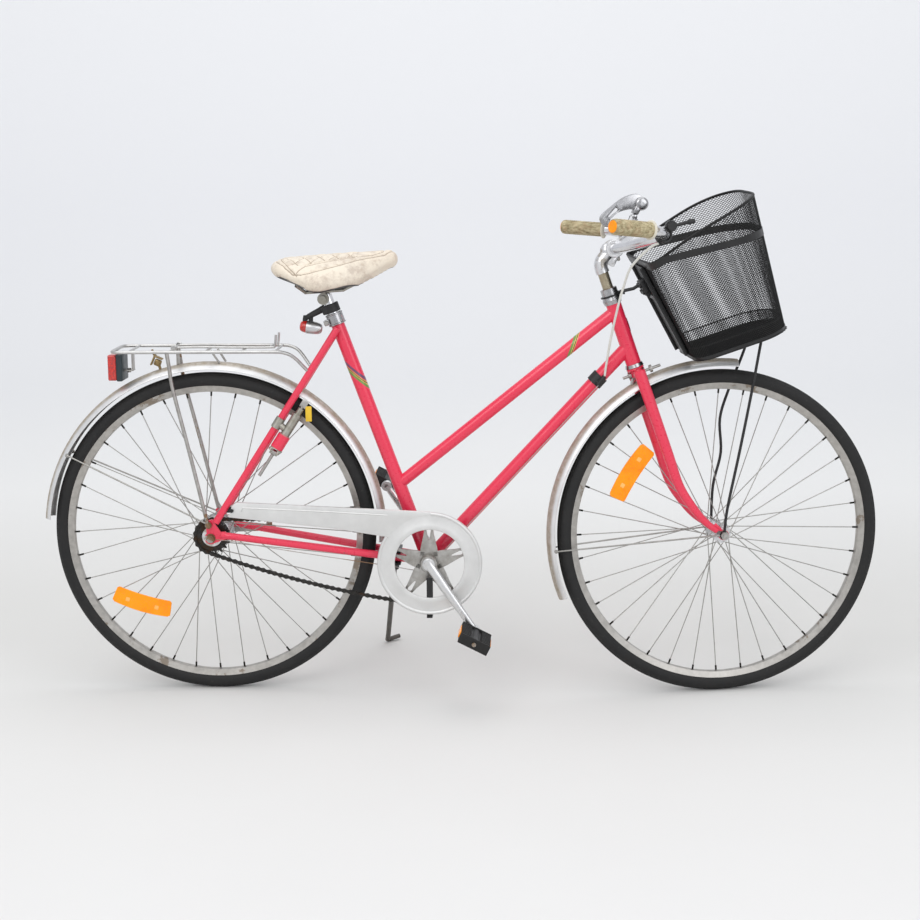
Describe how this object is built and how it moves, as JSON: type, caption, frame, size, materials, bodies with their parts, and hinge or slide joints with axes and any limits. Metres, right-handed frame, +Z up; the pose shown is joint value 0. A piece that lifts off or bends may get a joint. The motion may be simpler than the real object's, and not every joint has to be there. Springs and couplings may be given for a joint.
{
  "type": "bicycle on stand",
  "caption": "Step-through city bicycle leaning on its side stand, with mudguards, rear carrier, chainguard, wire basket, sprung luggage clip and wheel reflectors.",
  "frame": {"origin": "middle of the footprint box, on the ground", "axes": "+X towards the front wheel along the bicycle's length, +Y towards the rider's left, the side it leans to, +Z up from the ground"},
  "size_m": [1.7697, 0.6067, 1.046],
  "materials": {
    "paint": "gloss coral pink paint",
    "alu": "brushed bare metal",
    "steel": "bare steel, slightly dull",
    "chrome": "polished plating",
    "dark_steel": "oiled dark steel",
    "black_plastic": "black satin plastic",
    "black_metal": "black enamel",
    "cable": "white cable casing",
    "grip": "worn tan rubber",
    "tyre": "black rubber with a worn tread",
    "amber": "amber prismatic plastic",
    "red": "red prismatic plastic",
    "lamp": "silvery plastic with a red lens",
    "yellow": "yellow plastic fob",
    "hide": "cream quilted vinyl"
  },
  "bodies": {
    "frame": {"main_frame": "paint", "chain_stays": "paint", "seat_stays": "paint", "bb_cups": "chrome", "headset_cups": "chrome", "seat_clamp": "chrome", "rear_mudguard": "alu", "rear_mudguard_stays": "alu", "rack": "steel", "rack_stays": "steel", "tail_reflector": "red", "chainguard": "alu", "chainguard_straps": "black_metal", "chain": "dark_steel", "rear_axle": "steel", "brake_arm": "steel", "kickstand_bracket": "black_metal", "lock_housing": "paint", "cable_stop": "black_plastic", "gear_wire": "steel", "gear_cable": "cable"},
    "steering": {"fork": "paint", "headset_nuts": "chrome", "stem": "chrome", "handlebar": "chrome", "grips": "grip", "lever_perch": "chrome", "shifter_body": "black_plastic", "crown_bolt": "steel", "front_mudguard": "alu", "front_mudguard_stays": "alu", "front_axle": "steel", "basket": "black_metal", "basket_bracket": "black_metal", "basket_stays": "black_metal"},
    "lever": {"brake_lever": "chrome"},
    "shifter": {"shift_lever": "black_plastic"},
    "front_wheel": {"front_tyre": "tyre", "front_rim": "alu", "front_spokes": "chrome", "front_hub": "chrome", "front_wheel_reflector": "amber"},
    "rear_wheel": {"rear_tyre": "tyre", "rear_rim": "alu", "rear_spokes": "chrome", "rear_hub": "chrome", "rear_wheel_reflector": "amber"},
    "sprocket": {"rear_sprocket": "dark_steel"},
    "cranks": {"right_crank": "chrome", "left_crank": "chrome"},
    "pedal_right": {"right_pedal": "black_plastic"},
    "pedal_left": {"left_pedal": "black_plastic"},
    "post": {"seatpost": "chrome", "tail_lamp": "lamp"},
    "saddle": {"saddle_frame": "steel", "saddle_pad": "hide"},
    "stand": {"kickstand": "black_metal"},
    "lock": {"lock_arm": "steel"},
    "key": {"lock_key": "yellow"},
    "clip": {"rack_clip": "steel"}
  },
  "joints": [
    {"name": "steering", "type": "hinge", "parent": "frame", "child": "steering", "pos_m": [0.34789, -0.01379, 0.74887], "axis": [-0.3251, 0.0544, 0.9441], "range_deg": [-60, 43], "deforming": ["gear_cable"]},
    {"name": "front_wheel_spin", "type": "hinge", "parent": "steering", "child": "front_wheel", "pos_m": [0.54561, -0.02915, 0.3412], "axis": [-0.1398, 0.9846, -0.1049], "continuous": true},
    {"name": "rear_wheel_spin", "type": "hinge", "parent": "frame", "child": "rear_wheel", "pos_m": [-0.51982, -0.03726, 0.34243], "axis": [0, 0.9983, -0.0576], "continuous": true},
    {"name": "crank_spin", "type": "hinge", "parent": "frame", "child": "cranks", "pos_m": [-0.06285, -0.04048, 0.28628], "axis": [0, 0.9983, -0.0576], "range_deg": [-48, 228]},
    {"name": "sprocket_spin", "type": "hinge", "parent": "frame", "child": "sprocket", "pos_m": [-0.51982, -0.03726, 0.34243], "axis": [0, 0.9983, -0.0576], "continuous": true},
    {"name": "right_pedal_spin", "type": "hinge", "parent": "cranks", "child": "pedal_right", "pos_m": [0.03459, -0.0485, 0.1472], "axis": [0, 0.9983, -0.0576], "continuous": true},
    {"name": "left_pedal_spin", "type": "hinge", "parent": "cranks", "child": "pedal_left", "pos_m": [-0.16028, -0.03246, 0.42536], "axis": [0, 0.9983, -0.0576], "continuous": true},
    {"name": "seatpost_slide", "type": "slide", "parent": "frame", "child": "post", "axis": [-0.3415, 0.0541, 0.9383], "range_m": [0, 0.1]},
    {"name": "saddle_tilt", "type": "hinge", "parent": "post", "child": "saddle", "pos_m": [-0.27655, -0.00865, 0.83848], "axis": [0, 0.9983, -0.0576], "range_deg": [-8, 8]},
    {"name": "kickstand_fold", "type": "hinge", "parent": "frame", "child": "stand", "pos_m": [-0.14386, 0.00401, 0.25872], "axis": [0.1114, 0.7474, 0.6549], "range_deg": [0, 79.8]},
    {"name": "brake_lever_pull", "type": "hinge", "parent": "steering", "child": "lever", "pos_m": [0.3915, 0.22592, 1.00555], "axis": [0.1398, -0.9846, 0.1049], "range_deg": [0, 15], "stiffness_Nm_per_rad": 1.2, "springref_deg": -20.05},
    {"name": "shift_lever_turn", "type": "hinge", "parent": "steering", "child": "shifter", "pos_m": [0.4248, -0.16916, 0.99931], "axis": [-0.1398, 0.9846, -0.1049], "range_deg": [0, 50]},
    {"name": "rack_clip_lift", "type": "hinge", "parent": "frame", "child": "clip", "pos_m": [-0.5896, -0.01439, 0.73911], "axis": [0, -0.9983, 0.0576], "range_deg": [0, 75], "stiffness_Nm_per_rad": 1.5, "springref_deg": -22.92},
    {"name": "lock_arm_swing", "type": "hinge", "parent": "frame", "child": "lock", "pos_m": [-0.38376, -0.07606, 0.52513], "axis": [0.84, -0.0312, -0.5417], "range_deg": [0, 25]},
    {"name": "lock_key_turn", "type": "hinge", "parent": "frame", "child": "key", "pos_m": [-0.32755, -0.06201, 0.61149], "axis": [0.5405, 0.1351, 0.8304], "range_deg": [-90, 0]}
  ],
  "couplings": [
    {"joint": "sprocket_spin", "follows": "crank_spin", "ratio": 2.5556}
  ]
}
